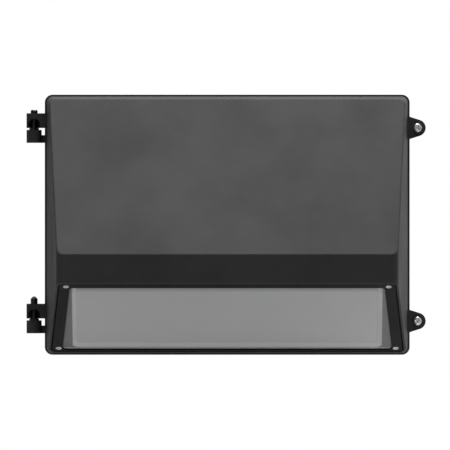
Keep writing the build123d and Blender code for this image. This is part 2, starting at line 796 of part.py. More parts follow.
def box_holes():
    """Every hole in the back box."""
    holes = []
    for bottom in knuckle_bottoms.values():
        start = bottom - barrel_gap - barrel_height
        bore = Plane.XY.offset(start - 1) * Pos(hinge_x, joint_y) * Circle(pin_radius + pin_press_gap)
        holes.append(extrude(bore, amount=barrel_height + 2))
    for z in ear_heights.values():
        place = Pos(ear_x, z)
        thread = place * Circle(screw_radius + thread_clearance)
        pocket = place * Circle(ring_radius + ring_pocket_clearance)
        holes.append(from_wall(thread, box_depth - box_ear_thickness - 1, box_depth + 1))
        holes.append(from_wall(pocket, box_depth - box_ring_pocket, box_depth + 1))
    for place, direction in hubs:
        hub = hub_plane(place, direction).offset(2) * Circle(entry_radius)
        holes.append(extrude(hub, amount=-4 - box_wall - hub_boss))
    through = discs(wall_holes, wall_hole_radius) + discs([(0, entry_z)], entry_radius)
    for side in (-1, 1):
        slot = SlotOverall(outlet_slot_length, outlet_slot_width)
        through += Pos(side * outlet_spacing / 2, entry_z) * slot
    holes.append(from_wall(through, -1, box_floor + entry_boss_height + 1))
    pilots = discs(driver_screw_places, driver_screw_radius + thread_clearance)
    holes.append(from_wall(pilots, driver_base + driver_tab_thickness - driver_screw_length, driver_base + 1))
    pilot = discs([(ground_x, ground_z)], driver_screw_radius + thread_clearance)
    tip = ground_level + terminal_thickness - driver_screw_length
    holes.append(from_wall(pilot, tip, ground_level + 1))
    return holes


def make_rim_gasket():
    """Seal in the back box's rim groove."""
    return seal_ring(thread_clearance, box_depth - seal_depth, box_depth - thread_clearance)


def make_conduit_plugs():
    """Flush plugs in the side and top wire entries."""
    plugs = []
    for place, direction in hubs:
        plane = hub_plane(place, direction).offset(-plug_recess)
        plug = extrude(plane * Circle(entry_radius - plug_clearance), amount=-plug_length)
        plugs.append(plug - extrude(plane * Rectangle(plug_socket, plug_socket), amount=-plug_socket_depth))
    return plugs


def make_hinge_pin(name):
    """Pin held in the box's barrel, on which the door's knuckle turns."""
    bottom = knuckle_bottoms[name] - barrel_gap - barrel_height
    top = knuckle_bottoms[name] + door_knuckle_height + pin_tips[name]
    pin = extrude(Plane.XY.offset(bottom) * Pos(hinge_x, joint_y) * Circle(pin_radius), amount=top - bottom)
    return chamfer(pin.edges().sort_by(Axis.Z)[-1], pin_chamfers[name])


def make_hinge_washers():
    """Washers between the barrels and the knuckles, which carry the door."""
    washers = []
    for bottom in knuckle_bottoms.values():
        ring = Circle(washer_radius) - Circle(pin_radius + pin_clearance)
        plane = Plane.XY.offset(bottom - barrel_gap)
        washers.append(extrude(plane * Pos(hinge_x, joint_y) * ring, amount=barrel_gap - washer_play))
    return washers


def make_led_driver():
    """Sealed power supply with a mounting tab at each end."""
    case = Pos(driver_x, driver_z) * RectangleRounded(driver_length, driver_height, driver_edge_radius)
    body = from_wall(case, driver_base, driver_base + driver_depth)
    body = fillet(body.faces().sort_by(Axis.Y)[0].edges(), driver_edge_radius / 2)
    tabs = Pos(driver_x, driver_z) * Rectangle(driver_length + 2 * driver_tab, driver_tab_width)
    body += from_wall(tabs, driver_base, driver_base + driver_tab_thickness)
    holes = discs(driver_screw_places, driver_screw_radius + screw_play)
    return body - from_wall(holes, driver_base - 1, driver_base + driver_tab_thickness + 1)


def floor_screw(x, z, level):
    """A screw driven towards the wall, its head on the given level."""
    return pan_screw(
        Plane(origin=(x, -level, z), x_dir=(1, 0, 0), z_dir=(0, -1, 0)),
        driver_screw_radius,
        driver_screw_length,
        driver_screw_head_radius,
        driver_screw_head_height,
    )


def make_driver_screws():
    """Screws through the driver's tabs."""
    return [floor_screw(x, z, driver_base + driver_tab_thickness) for x, z in driver_screw_places]


def make_ground_screw():
    """Earth screw on its boss."""
    return floor_screw(ground_x, ground_z, ground_level + terminal_thickness)


def make_ring_terminal():
    """Ring terminal under the earth screw, its barrel towards the driver."""
    place = Pos(ground_x, ground_z)
    ring = place * Circle(terminal_radius)
    reach = terminal_radius + terminal_barrel_length
    tongue = place * Rectangle(terminal_radius, reach, align=(Align.CENTER, Align.MAX))
    plate = from_wall(ring + tongue, ground_level, ground_level + terminal_thickness)
    plate -= from_wall(place * Circle(driver_screw_radius + screw_play), ground_level - 1, ground_level + 3)
    end = terminal_end()
    barrel = Plane(origin=end, z_dir=(0, 0, 1)) * Circle(terminal_barrel_radius)
    return plate + extrude(barrel, amount=terminal_barrel_length)


def terminal_end():
    """Where the earth lead enters the ring terminal."""
    level = ground_level + terminal_barrel_radius
    return (ground_x, -level, ground_z - terminal_radius - terminal_barrel_length)


def make_ground_lead():
    """Earth lead from the driver to the ring terminal."""
    end = terminal_end()
    x = driver_x + driver_length / 2
    points = [
        (x, end[1] - ground_lead_lift, driver_z - ground_lead_drop),
        (x + ground_lead_out, end[1] - ground_lead_lift, driver_z - ground_lead_drop),
        (end[0], end[1], end[2] - ground_lead_in),
        end,
    ]
    return lead("ground_lead", points, lead_diameter)


def supply_route(name):
    """Route of a supply lead, given from the driver's right-hand end."""
    corner = (driver_x + driver_length / 2, 0, driver_z)
    first = (0, *supply_points[name][0][1:])
    return [tuple(a + b for a, b in zip(corner, point)) for point in [first, *supply_points[name]]]


def make_supply_lead(name):
    """Supply lead from the driver to its twist-on connector."""
    return lead(f"supply_lead_{name}", supply_route(name), lead_diameter)


def make_wire_connectors():
    """Twist-on wire connectors on the ends of the supply leads."""
    caps = []
    for name in supply_points:
        before, end = [Vector(*p) for p in supply_route(name)[-2:]]
        mouth = Plane(origin=end, z_dir=end - before)
        faces = [mouth * Circle(connector_mouth_radius)]
        faces.append(mouth.offset(connector_length) * Circle(connector_tip_radius))
        cap = loft(faces)
        tip = cap.edges().sort_by(Axis(end, mouth.z_dir))[-1]
        caps.append(fillet(tip, connector_edge_radius))
    return caps


# --- Captive door screws --------------------------------------------------------------------------------
def make_door_screw(z):
    """Captive screw with a groove for its retaining ring."""
    plane = Plane(origin=(ear_x, joint_y - door_ear_thickness, z), x_dir=(1, 0, 0), z_dir=(0, -1, 0))
    length = door_ear_thickness + screw_tip_depth
    screw = pan_screw(plane, screw_radius, length, screw_head_radius, screw_head_height)
    band = Circle(screw_radius + 1) - Circle(screw_radius - ring_groove_depth)
    start = box_depth - ring_depth - ring_thickness - ring_play
    end = box_depth - ring_depth + ring_play
    return screw - from_wall(Pos(ear_x, z) * band, start, end)


def make_retaining_ring(z):
    """Ring in the screw's groove, which keeps the screw in the door's ear."""
    band = Circle(ring_radius) - Circle(screw_radius - ring_groove_depth + ring_play)
    return from_wall(Pos(ear_x, z) * band, box_depth - ring_depth - ring_thickness, box_depth - ring_depth)


# --- Writing the parts -----------------------------------------------------------------------------------
def all_parts():
    """Every piece under its own name."""
    parts = {
        "back_box": make_back_box(),
        "rim_gasket": make_rim_gasket(),
        "conduit_plugs": make_conduit_plugs(),
        "hinge_washers": make_hinge_washers(),
        "led_driver": make_led_driver(),
        "driver_screws": make_driver_screws(),
        "ground_screw": make_ground_screw(),
        "ring_terminal": make_ring_terminal(),
        "ground_lead": make_ground_lead(),
        "wire_connectors": make_wire_connectors(),
        "door_housing": make_door_housing(),
        "lens_bezel": make_lens_bezel(),
        "bezel_screws": make_bezel_screws(),
        "lens": make_lens(),
        "lens_gasket": make_lens_gasket(),
        "heat_spreader": make_heat_spreader(),
        "spreader_screws": make_spreader_screws(),
        "led_board": make_led_board(),
        "led_chips": make_led_chips(),
        "led_board_screws": make_led_board_screws(),
        "reflector": make_reflector(),
        "reflector_rivets": make_reflector_rivets(),
        "led_connector": make_led_connector(),
        "led_cable": make_led_cable(),
        "cable_clip": make_cable_clip(),
        "cable_clip_screw": make_cable_clip_screw(),
    }
    for name in supply_points:
        parts[f"supply_lead_{name}"] = make_supply_lead(name)
    for name, z in ear_heights.items():
        parts[f"hinge_pin_{name}"] = make_hinge_pin(name)
        parts[f"door_screw_{name}"] = make_door_screw(z)
        parts[f"retaining_ring_{name}"] = make_retaining_ring(z)
    return parts


def write_parts():
    """Writes one STEP file per piece."""
    os.makedirs("parts", exist_ok=True)
    for name, shape in all_parts().items():
        solids = shape if isinstance(shape, list) else [shape]
        compound = Compound(children=[s for piece in solids for s in piece.solids()])
        compound.label = name
        export_step(compound, f"parts/{name}.step")


write_parts()
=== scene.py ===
import bmesh
import bpy
from math import cos, pi, radians, sin
from mathutils import Matrix, Vector


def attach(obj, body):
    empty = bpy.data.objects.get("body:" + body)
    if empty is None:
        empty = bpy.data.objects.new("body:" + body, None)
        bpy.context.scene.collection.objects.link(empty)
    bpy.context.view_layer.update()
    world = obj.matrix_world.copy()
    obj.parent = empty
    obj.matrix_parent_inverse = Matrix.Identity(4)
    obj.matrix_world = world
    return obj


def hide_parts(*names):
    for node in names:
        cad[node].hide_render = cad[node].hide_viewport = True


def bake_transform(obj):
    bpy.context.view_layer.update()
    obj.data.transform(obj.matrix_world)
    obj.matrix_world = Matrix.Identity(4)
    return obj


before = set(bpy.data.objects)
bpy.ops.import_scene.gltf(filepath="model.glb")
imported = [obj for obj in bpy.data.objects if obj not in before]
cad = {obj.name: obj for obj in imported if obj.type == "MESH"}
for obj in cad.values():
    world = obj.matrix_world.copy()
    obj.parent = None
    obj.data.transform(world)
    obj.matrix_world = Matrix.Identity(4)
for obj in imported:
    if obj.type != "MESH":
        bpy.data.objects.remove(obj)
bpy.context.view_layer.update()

# --- The view -------------------------------------------------------------------------------
# The light hangs in the air in front of nothing, square to a long lens. A large soft lamp
# stands over it, weaker ones at both sides and below it, and a pale floor lies well under it.
scene = bpy.context.scene
scene.view_settings.view_transform = "Standard"
view_distance = 18.6
view_width = 0.4067          # metres across the frame, at the rim where the castings meet
rim_y = -0.045
view_x, view_z = -0.0020, -0.00024
sensor_width = 36.0

camera_data = bpy.data.cameras.new("front_camera")
camera_data.sensor_width = sensor_width
camera_data.lens = sensor_width * view_distance / view_width
camera_data.clip_end = 60.0
camera = bpy.data.objects.new("front_camera", camera_data)
camera.location = (view_x, rim_y - view_distance, view_z)
camera.rotation_euler = (pi / 2, 0, 0)
scene.collection.objects.link(camera)
scene.camera = camera


def area_lamp(name, place, target, size, power):
    data = bpy.data.lights.new(name, "AREA")
    data.shape = "DISK"
    data.size = size
    data.energy = power
    lamp = bpy.data.objects.new(name, data)
    lamp.location = place
    lamp.rotation_euler = (Vector(target) - Vector(place)).to_track_quat("-Z", "Y").to_euler()
    scene.collection.objects.link(lamp)
    return lamp


floor_level = -0.215
light_middle = (0, -0.1, 0)
area_lamp("overhead_lamp", (0.2, -0.08, 2.1), light_middle, size=1.2, power=60.0)
area_lamp("right_lamp", (2.0, 0.25, 0.3), light_middle, size=0.9, power=2.0)
area_lamp("left_lamp", (-2.0, 0.25, 0.3), light_middle, size=0.9, power=0.5)
low_lamp = area_lamp("low_lamp", (0, -0.075, floor_level + 0.003), (0, -0.075, 0), size=0.5, power=0.08)
low_lamp.data.shape = "RECTANGLE"
low_lamp.data.size_y = 0.22
low_lamp.visible_camera = False


def join(tree, source, target):
    tree.links.new(source, target)


def spread(tree, value, low, high, to_low, to_high):
    """Maps a part of a value's range on to another range."""
    node = tree.nodes.new("ShaderNodeMapRange")
    join(tree, value, node.inputs["Value"])
    for label, number in zip(("From Min", "From Max", "To Min", "To Max"), (low, high, to_low, to_high)):
        if isinstance(number, (int, float)):
            node.inputs[label].default_value = number
        else:
            join(tree, number, node.inputs[label])
    return node.outputs["Result"]


def blend_colours(tree, factor, first, second):
    node = tree.nodes.new("ShaderNodeMix")
    node.data_type = "RGBA"
    for label, value in (("Factor", factor), ("A", first), ("B", second)):
        socket = [s for s in node.inputs if s.name == label and (s.type == "RGBA") == (label != "Factor")][0]
        if isinstance(value, (tuple, float, int)):
            socket.default_value = value
        else:
            join(tree, value, socket)
    return [s for s in node.outputs if s.type == "RGBA"][0]


def arithmetic(tree, operation, first, second):
    node = tree.nodes.new("ShaderNodeMath")
    node.operation = operation
    for socket, value in zip(node.inputs, (first, second)):
        if isinstance(value, (int, float)):
            socket.default_value = value
        else:
            join(tree, value, socket)
    return node.outputs[0]


# The world is white for the camera. Metal and glass mirror a wall behind the light, dim at its left.
dim_room, white_wall = (0.06, 0.06, 0.061, 1), (1, 1, 1, 1)
least_mirrored = 0.35

world = bpy.data.worlds.new("studio")
world.use_nodes = True
scene.world = world
tree = world.node_tree
tree.nodes.clear()
ray = tree.nodes.new("ShaderNodeLightPath").outputs
axes = tree.nodes.new("ShaderNodeSeparateXYZ")
join(tree, tree.nodes.new("ShaderNodeTexCoord").outputs["Generated"], axes.inputs[0])
behind = spread(tree, axes.outputs["Y"], 0.0, 0.6, 0.0, 1.0)
sideways = spread(tree, axes.outputs["X"], -0.35, 0.2, 0.1, 1.0)
wall = arithmetic(tree, "MAXIMUM", arithmetic(tree, "MULTIPLY", behind, sideways), least_mirrored)
mirror = arithmetic(tree, "MAXIMUM", ray["Is Glossy Ray"], ray["Is Transmission Ray"])
shown = arithmetic(tree, "MAXIMUM", arithmetic(tree, "MULTIPLY", mirror, wall), ray["Is Camera Ray"])
background = tree.nodes.new("ShaderNodeBackground")
output = tree.nodes.new("ShaderNodeOutputWorld")
join(tree, blend_colours(tree, shown, dim_room, white_wall), background.inputs["Color"])
join(tree, background.outputs[0], output.inputs["Surface"])


def new_material(name):
    material = bpy.data.materials.new(name)
    material.use_nodes = True
    return material, material.node_tree, material.node_tree.nodes["Principled BSDF"]


floor_reach, floor_end = 9.0, 0.85      # to the sides and the front, and behind the light
floor_lift = 0.75                       # what the camera sees of it above its lit grey
floor_outline = [(-floor_reach, -floor_reach), (floor_reach, -floor_reach),
                 (floor_reach, floor_end), (-floor_reach, floor_end)]
floor_mesh = bpy.data.meshes.new("floor")
floor_mesh.from_pydata([(x, y, floor_level) for x, y in floor_outline], [], [(0, 1, 2, 3)])
floor = bpy.data.objects.new("floor", floor_mesh)
scene.collection.objects.link(floor)
floor_paint, tree, shader = new_material("pale_floor")
shader.inputs["Base Color"].default_value = (0.5, 0.5, 0.5, 1)
shader.inputs["Roughness"].default_value = 0.9
shader.inputs["Emission Color"].default_value = (1, 1, 1, 1)
seen = tree.nodes.new("ShaderNodeLightPath").outputs["Is Camera Ray"]
join(tree, arithmetic(tree, "MULTIPLY", seen, floor_lift), shader.inputs["Emission Strength"])
floor.data.materials.append(floor_paint)

# --- Back box, door casting and lens frame ------------------------------------------------------
# Pressure-cast aluminium, powder-coated in a dark grey with a fine texture. The box is
# screwed to the wall, the door hangs on it and the frame is screwed into the door.
def new_group(name, numbers, outputs):
    """A shader group whose inputs are numbers and whose outputs are given as (name, type)."""
    group = bpy.data.node_groups.new(name, "ShaderNodeTree")
    for label, value in numbers.items():
        kind = "NodeSocketColor" if isinstance(value, tuple) else "NodeSocketFloat"
        socket = group.interface.new_socket(label, in_out="INPUT", socket_type=kind)
        socket.default_value = value
    for label, kind in outputs:
        group.interface.new_socket(label, in_out="OUTPUT", socket_type=kind)
    return group, group.nodes.new("NodeGroupInput"), group.nodes.new("NodeGroupOutput")


def noise(tree, coords, scale, detail=3.0, rough=0.55):
    node = tree.nodes.new("ShaderNodeTexNoise")
    node.inputs["Detail"].default_value = detail
    node.inputs["Roughness"].default_value = rough
    if isinstance(scale, (int, float)):
        node.inputs["Scale"].default_value = scale
    else:
        join(tree, scale, node.inputs["Scale"])
    join(tree, coords, node.inputs["Vector"])
    return node.outputs["Fac"]


skin_outputs = [("Colour", "NodeSocketColor"), ("Roughness", "NodeSocketFloat"),
                ("Height", "NodeSocketFloat")]

# Powder: a close orange peel with finer grit on it, slow tone changes and settled dust.
powder, into, out = new_group(
    "powder_coat",
    {"Colour": (0.05, 0.05, 0.05, 1), "Peel": 1100.0, "Dust": 0.15, "Roughness": 0.5},
    skin_outputs,
)
black, dust_grey = (0.0, 0.0, 0.0, 1), (0.19, 0.185, 0.18, 1)
place = powder.nodes.new("ShaderNodeTexCoord").outputs["Object"]
peel = noise(powder, place, into.outputs["Peel"], detail=2.0)
grit = noise(powder, place, scale=5200.0, detail=1.0)
cloud = noise(powder, place, scale=14.0, detail=4.0)
patch = noise(powder, place, scale=70.0, detail=5.0, rough=0.65)
dust = arithmetic(powder, "MULTIPLY", spread(powder, patch, 0.45, 0.75, 0.0, 1.0), into.outputs["Dust"])
tone = blend_colours(powder, spread(powder, cloud, 0.3, 0.7, 0.0, 0.16), into.outputs["Colour"], black)
join(powder, blend_colours(powder, dust, tone, dust_grey), out.inputs["Colour"])
rough = arithmetic(powder, "ADD", into.outputs["Roughness"], spread(powder, cloud, 0.3, 0.7, -0.05, 0.05))
dulled = arithmetic(powder, "ADD", rough, arithmetic(powder, "MULTIPLY", dust, 0.3))
join(powder, dulled, out.inputs["Roughness"])
relief = arithmetic(powder, "ADD", peel, arithmetic(powder, "MULTIPLY", grit, 0.35))
join(powder, relief, out.inputs["Height"])


def use_group(tree, group, **values):
    node = tree.nodes.new("ShaderNodeGroup")
    node.node_tree = group
    for label, value in values.items():
        node.inputs[label].default_value = value
    return node.outputs


def bump(tree, shader, height, strength, depth):
    node = tree.nodes.new("ShaderNodeBump")
    node.inputs["Strength"].default_value = strength
    node.inputs["Distance"].default_value = depth
    join(tree, height, node.inputs["Height"])
    join(tree, node.outputs[0], shader.inputs["Normal"])


def put_on(tree, shader, skin, strength, depth):
    """Gives a shader the colour, roughness and relief that a group puts out."""
    join(tree, skin["Colour"], shader.inputs["Base Color"])
    join(tree, skin["Roughness"], shader.inputs["Roughness"])
    bump(tree, shader, skin["Height"], strength, depth)


def powder_paint(name, colour, roughness, dust):
    material, tree, shader = new_material(name)
    coat = use_group(tree, powder, Colour=(*colour, 1), Dust=dust, Roughness=roughness)
    put_on(tree, shader, coat, strength=0.5, depth=0.00006)
    shader.inputs["Specular IOR Level"].default_value = 0.12
    return material


def finish_node(name, material):
    """Gives a CAD node its material in every slot."""
    piece = cad[name]
    piece.data.materials.clear()
    piece.data.materials.append(material)


housing_paint = powder_paint("housing_paint", (0.068, 0.0675, 0.067), roughness=0.62, dust=0.05)
# The frame has the same coat as the castings, painted much darker: painted shade.
frame_paint = powder_paint("frame_paint", (0.012, 0.0117, 0.0114), roughness=0.5, dust=0.02)
plug_paint = powder_paint("plug_paint", (0.05, 0.048, 0.046), roughness=0.45, dust=0.2)
finish_node("back_box", housing_paint)
finish_node("door_housing", housing_paint)
finish_node("lens_bezel", frame_paint)
finish_node("conduit_plugs", plug_paint)

# --- Lens ---------------------------------------------------------------------------------------
# One moulding in frosted polycarbonate: a flat flange that the frame clamps, and a shallow dish.
# The flange is darker, partly for its black seal and partly as painted shade. The dish's walls carry a
# painted highlight, most on the lower wall; its face has painted light low down and a painted shadow at
# its top, under the frame's upper bar.
def along(tree, coords, direction, start):
    """How far a point lies along a direction, from a start, in metres."""
    node = tree.nodes.new("ShaderNodeVectorMath")
    node.operation = "DOT_PRODUCT"
    node.inputs[1].default_value = direction
    join(tree, coords, node.inputs[0])
    return arithmetic(tree, "SUBTRACT", node.outputs["Value"], start)


lens_middle = Vector((0, -0.1365, -0.08413))
lens_up = Vector((0, -0.89512, 0.44584))
lens_in = Vector((0, 0.44584, 0.89512))

# Where painted light and shade begin and end, in metres up the slope and inwards from the opening's middle.
painted_light_below = (0.03, -0.055)
painted_frame_shadow = (0.0415, 0.0535)
lower_wall_highlight = (-0.045, -0.056)
flange_foot = (-0.0641, -0.0633)
flange_back = (0.0021, 0.0025)
wall_starts, wall_ends = (0.0022, 0.0027), (0.0050, 0.0056)

lens_plastic, tree, shader = new_material("frosted_lens")
place = tree.nodes.new("ShaderNodeTexCoord").outputs["Object"]
rise = along(tree, place, lens_up, lens_up.dot(lens_middle))
depth = along(tree, place, lens_in, lens_in.dot(lens_middle))
ripple = noise(tree, place, scale=42.0, detail=2.0)
frost = noise(tree, place, scale=2600.0, detail=2.0)
milky = blend_colours(tree, ripple, (0.66, 0.665, 0.665, 1), (0.7, 0.705, 0.705, 1))
# Painted light: the dish's face is made lighter towards its bottom.
lit = blend_colours(tree, spread(tree, rise, *painted_light_below, 0.0, 0.5), milky, (0.85, 0.85, 0.85, 1))
# Painted shadow: the top of the dish's face is darkened under the frame's upper bar.
shaded = blend_colours(tree, spread(tree, rise, *painted_frame_shadow, 0.0, 1.0), lit, (0.22, 0.22, 0.22, 1))
# Painted highlight: the dish's walls are made paler, the lower wall most.
past_start = spread(tree, depth, *wall_starts, 0.0, 1.0)
before_end = spread(tree, depth, *wall_ends, 1.0, 0.0)
walls = arithmetic(tree, "MULTIPLY", past_start, before_end)
pale = arithmetic(tree, "MULTIPLY", walls, spread(tree, rise, *lower_wall_highlight, 0.6, 1.0))
bright = blend_colours(tree, pale, shaded, (0.96, 0.96, 0.96, 1))
# The flange is darkened, partly for the black seal behind it and partly as painted shade from the frame.
in_flange = spread(tree, depth, *flange_back, 1.0, 0.0)
flange = arithmetic(tree, "MULTIPLY", in_flange, spread(tree, rise, *flange_foot, 0.0, 1.0))
join(tree, blend_colours(tree, flange, bright, (0.26, 0.26, 0.265, 1)), shader.inputs["Base Color"])
join(tree, spread(tree, frost, 0.3, 0.7, 0.42, 0.56), shader.inputs["Roughness"])
shader.inputs["Transmission Weight"].default_value = 0.15
shader.inputs["IOR"].default_value = 1.58
relief = arithmetic(tree, "ADD", frost, arithmetic(tree, "MULTIPLY", ripple, 4.0))
bump(tree, shader, relief, strength=0.25, depth=0.00008)
finish_node("lens", lens_plastic)

# --- Seals --------------------------------------------------------------------------------------
# Matt black silicone: a cord in the box's rim groove and a flat ring under the lens flange,
# each pressed by what closes on it: the door on the cord, the framed lens on the ring.
silicone, tree, shader = new_material("black_silicone")
place = tree.nodes.new("ShaderNodeTexCoord").outputs["Object"]
bloom = noise(tree, place, scale=160.0, detail=4.0)
rubber = blend_colours(tree, bloom, (0.018, 0.018, 0.019, 1), (0.045, 0.045, 0.047, 1))
join(tree, rubber, shader.inputs["Base Color"])
join(tree, spread(tree, bloom, 0.3, 0.7, 0.6, 0.8), shader.inputs["Roughness"])
bump(tree, shader, noise(tree, place, scale=1800.0, detail=2.0), strength=0.3, depth=0.00005)
finish_node("rim_gasket", silicone)
finish_node("lens_gasket", silicone)

# --- Metal sheet, pins, rings and terminal ----------------------------------------------------------
# Rolled aluminium plate behind the board, turned hinge pins, spring rings and a tinned terminal.
# The plate's and the pins' grain runs one way, and all of them are duller in patches.
grain, into, out = new_group(
    "metal_grain",
    {"Bright": (0.7, 0.7, 0.7, 1), "Dull": (0.5, 0.5, 0.5, 1),
     "Along X": 1.0, "Along Y": 1.0, "Along Z": 1.0, "Roughness": 0.3},
    skin_outputs,
)
place = grain.nodes.new("ShaderNodeTexCoord").outputs["Object"]
stretch = grain.nodes.new("ShaderNodeVectorMath")
stretch.operation = "MULTIPLY"
lengths = grain.nodes.new("ShaderNodeCombineXYZ")
for axis in "XYZ":
    join(grain, into.outputs[f"Along {axis}"], lengths.inputs[axis])
join(grain, place, stretch.inputs[0])
join(grain, lengths.outputs[0], stretch.inputs[1])
lines = noise(grain, stretch.outputs[0], scale=900.0)
stain = noise(grain, place, scale=60.0, detail=4.0)
stained = spread(grain, stain, 0.35, 0.7, 0.0, 1.0)
metal = blend_colours(grain, stained, into.outputs["Bright"], into.outputs["Dull"])
join(grain, metal, out.inputs["Colour"])
rough = arithmetic(grain, "ADD", into.outputs["Roughness"], spread(grain, lines, 0.3, 0.7, -0.07, 0.09))
join(grain, rough, out.inputs["Roughness"])
join(grain, lines, out.inputs["Height"])


def grained_metal(name, bright, dull, roughness, drawn_out=(1.0, 1.0, 1.0), metallic=1.0):
    material, tree, shader = new_material(name)
    values = {"Bright": (*bright, 1), "Dull": (*dull, 1), "Roughness": roughness}
    values.update({f"Along {axis}": number for axis, number in zip("XYZ", drawn_out)})
    put_on(tree, shader, use_group(tree, grain, **values), strength=0.35, depth=0.00003)
    shader.inputs["Metallic"].default_value = metallic
    return material


plate_metal = grained_metal(
    "rolled_aluminium", (0.74, 0.75, 0.76), (0.6, 0.61, 0.62), 0.34, drawn_out=(0.06, 1.0, 1.0))
pin_metal = grained_metal(
    "blackened_steel", (0.05, 0.05, 0.052), (0.025, 0.025, 0.026), 0.36, drawn_out=(0.3, 0.3, 2.0))
tin = grained_metal("tinned_copper", (0.72, 0.71, 0.69), (0.56, 0.55, 0.54), 0.33)
ring_metal = grained_metal("spring_steel", (0.4, 0.4, 0.41), (0.27, 0.27, 0.28), 0.36)
finish_node("heat_spreader", plate_metal)
finish_node("ring_terminal", tin)
for end in ("upper", "lower"):
    finish_node(f"hinge_pin_{end}", pin_metal)
    finish_node(f"retaining_ring_{end}", ring_metal)

# --- Fasteners ------------------------------------------------------------------------------------
# Cross-recessed screws, stainless where the weather reaches them and zinc plated inside, a green
# one for the earth, and aluminium blind rivets. Each screw was driven home at its own angle.
def skin_rings(shape, rings):
    """Adds a closed skin over rings of points, with a cap at both ends."""
    loops = [[shape.verts.new(point) for point in ring] for ring in rings]
    bands = [[shape.faces.new(loops[0][::-1])]]
    for lower, upper in zip(loops, loops[1:]):
        corners = zip(lower, lower[1:] + lower[:1], upper[1:] + upper[:1], upper)
        bands.append([shape.faces.new(four) for four in corners])
    bands.append([shape.faces.new(loops[-1])])
    return bands


def turned(profile, sides=24, start=0.0):
    """Rings of a turned shape from its radii and heights in millimetres."""
    turns = [2 * pi * (i + start) / sides for i in range(sides)]
    return [
        [Vector((radius * cos(turn), radius * sin(turn), height)) / 1000 for turn in turns]
        for radius, height in profile
    ]


def smoothed(mesh, crease):
    """Shades a mesh smooth but for edges sharper than the crease, in degrees."""
    mesh.polygons.foreach_set("use_smooth", [True] * len(mesh.polygons))
    mesh.set_sharp_from_angle(angle=radians(crease))
    return mesh


def settled_mesh(name, shape, crease=32):
    bmesh.ops.recalc_face_normals(shape, faces=shape.faces)
    mesh = bpy.data.meshes.new(name)
    shape.to_mesh(mesh)
    shape.free()
    return smoothed(mesh, crease)


def plain_copy(piece):
    """The piece's mesh as its modifiers leave it."""
    graph = bpy.context.evaluated_depsgraph_get()
    return bpy.data.meshes.new_from_object(piece.evaluated_get(graph))


def linked(name, data):
    piece = bpy.data.objects.new(name, data)
    scene.collection.objects.link(piece)
    return piece


def threads(radius, root, start, end, pitch):
    """Crests and roots of a thread between two heights, in millimetres."""
    ridges = []
    for i in range(int((end - start) / pitch)):
        ridges += [(root, start + i * pitch), (radius, start + (i + 0.5) * pitch)]
    return ridges


def screw_blank(radius, length, pitch, bare=0.0, groove=None):
    """A screw's shank below its head: bare first, with a groove where one is given, then threaded."""
    root = radius * 0.84
    profile = [(0.5 * root, -length), (root, 0.5 * pitch - length)]
    profile += threads(radius, root, pitch - length, -bare - 0.4 * pitch, pitch)
    profile.append((root, -bare - 0.1 * pitch))
    if groove:
        start, end, neck = groove
        profile += [(radius, -end - 0.05), (radius, -end), (neck, -end), (neck, -start), (radius, -start)]
    return profile + [(radius, -bare)]


def cross_cutter(head, top, depth):
    """The plus-shaped tool that pressed the recess, narrower towards its tip."""
    arm, half = 0.56 * head, 0.13 * head
    quarter = [(arm, -half), (arm, half), (half, half)]
    outline = [Matrix.Rotation(i * pi / 2, 2) @ Vector(point) for i in range(4) for point in quarter]
    shape = bmesh.new()
    levels = [(top - depth, 0.62), (top + 0.3, 1.08)]
    skin_rings(shape, [[Vector((p.x * size, p.y * size, z)) / 1000 for p in outline] for z, size in levels])
    return linked("cross_cutter", settled_mesh("cross_cutter", shape))


def screw_unit(name, blank, crown, head, top, depth):
    """One screw standing on its tip along Z, its cross recess pressed into the head."""
    shape = bmesh.new()
    skin_rings(shape, turned(blank + crown))
    screw = linked(name, settled_mesh(name, shape))
    cutter = cross_cutter(head, top, depth)
    press = screw.modifiers.new("recess", "BOOLEAN")
    press.object = cutter
    press.solver = "EXACT"
    mesh = plain_copy(screw)
    screw.modifiers.clear()
    screw.data = mesh
    bpy.data.objects.remove(cutter)
    return screw


def pan_crown(head, height):
    """A pan head's rounded crown, its seat at zero."""
    shares = [(0.97, 0.0), (1.0, 0.08), (1.0, 0.45), (0.96, 0.68), (0.86, 0.84), (0.7, 0.94), (0.42, 0.99)]
    return [(head * across, height * up) for across, up in shares]


def node_group(name, inputs):
    """A Geometry Nodes tree with the given inputs and one geometry out."""
    tree = bpy.data.node_groups.new(name, "GeometryNodeTree")
    for label, kind in inputs:
        tree.interface.new_socket(label, in_out="INPUT", socket_type=f"NodeSocket{kind}")
    tree.interface.new_socket("Piece", in_out="OUTPUT", socket_type="NodeSocketGeometry")
    return tree, tree.nodes.new("NodeGroupInput").outputs, tree.nodes.new("NodeGroupOutput").inputs


def fetched(tree, source):
    """The geometry of the object that an input names, in its own place."""
    info = tree.nodes.new("GeometryNodeObjectInfo")
    info.transform_space = "ORIGINAL"
    join(tree, source, info.inputs["Object"])
    return info.outputs["Geometry"]


def coated(tree, geometry, finish, selection=None):
    node = tree.nodes.new("GeometryNodeSetMaterial")
    join(tree, geometry, node.inputs["Geometry"])
    join(tree, finish, node.inputs["Material"])
    if selection:
        join(tree, selection, node.inputs["Selection"])
    return node.outputs[0]


def real(tree, geometry):
    node = tree.nodes.new("GeometryNodeRealizeInstances")
    join(tree, geometry, node.inputs[0])
    return node.outputs[0]


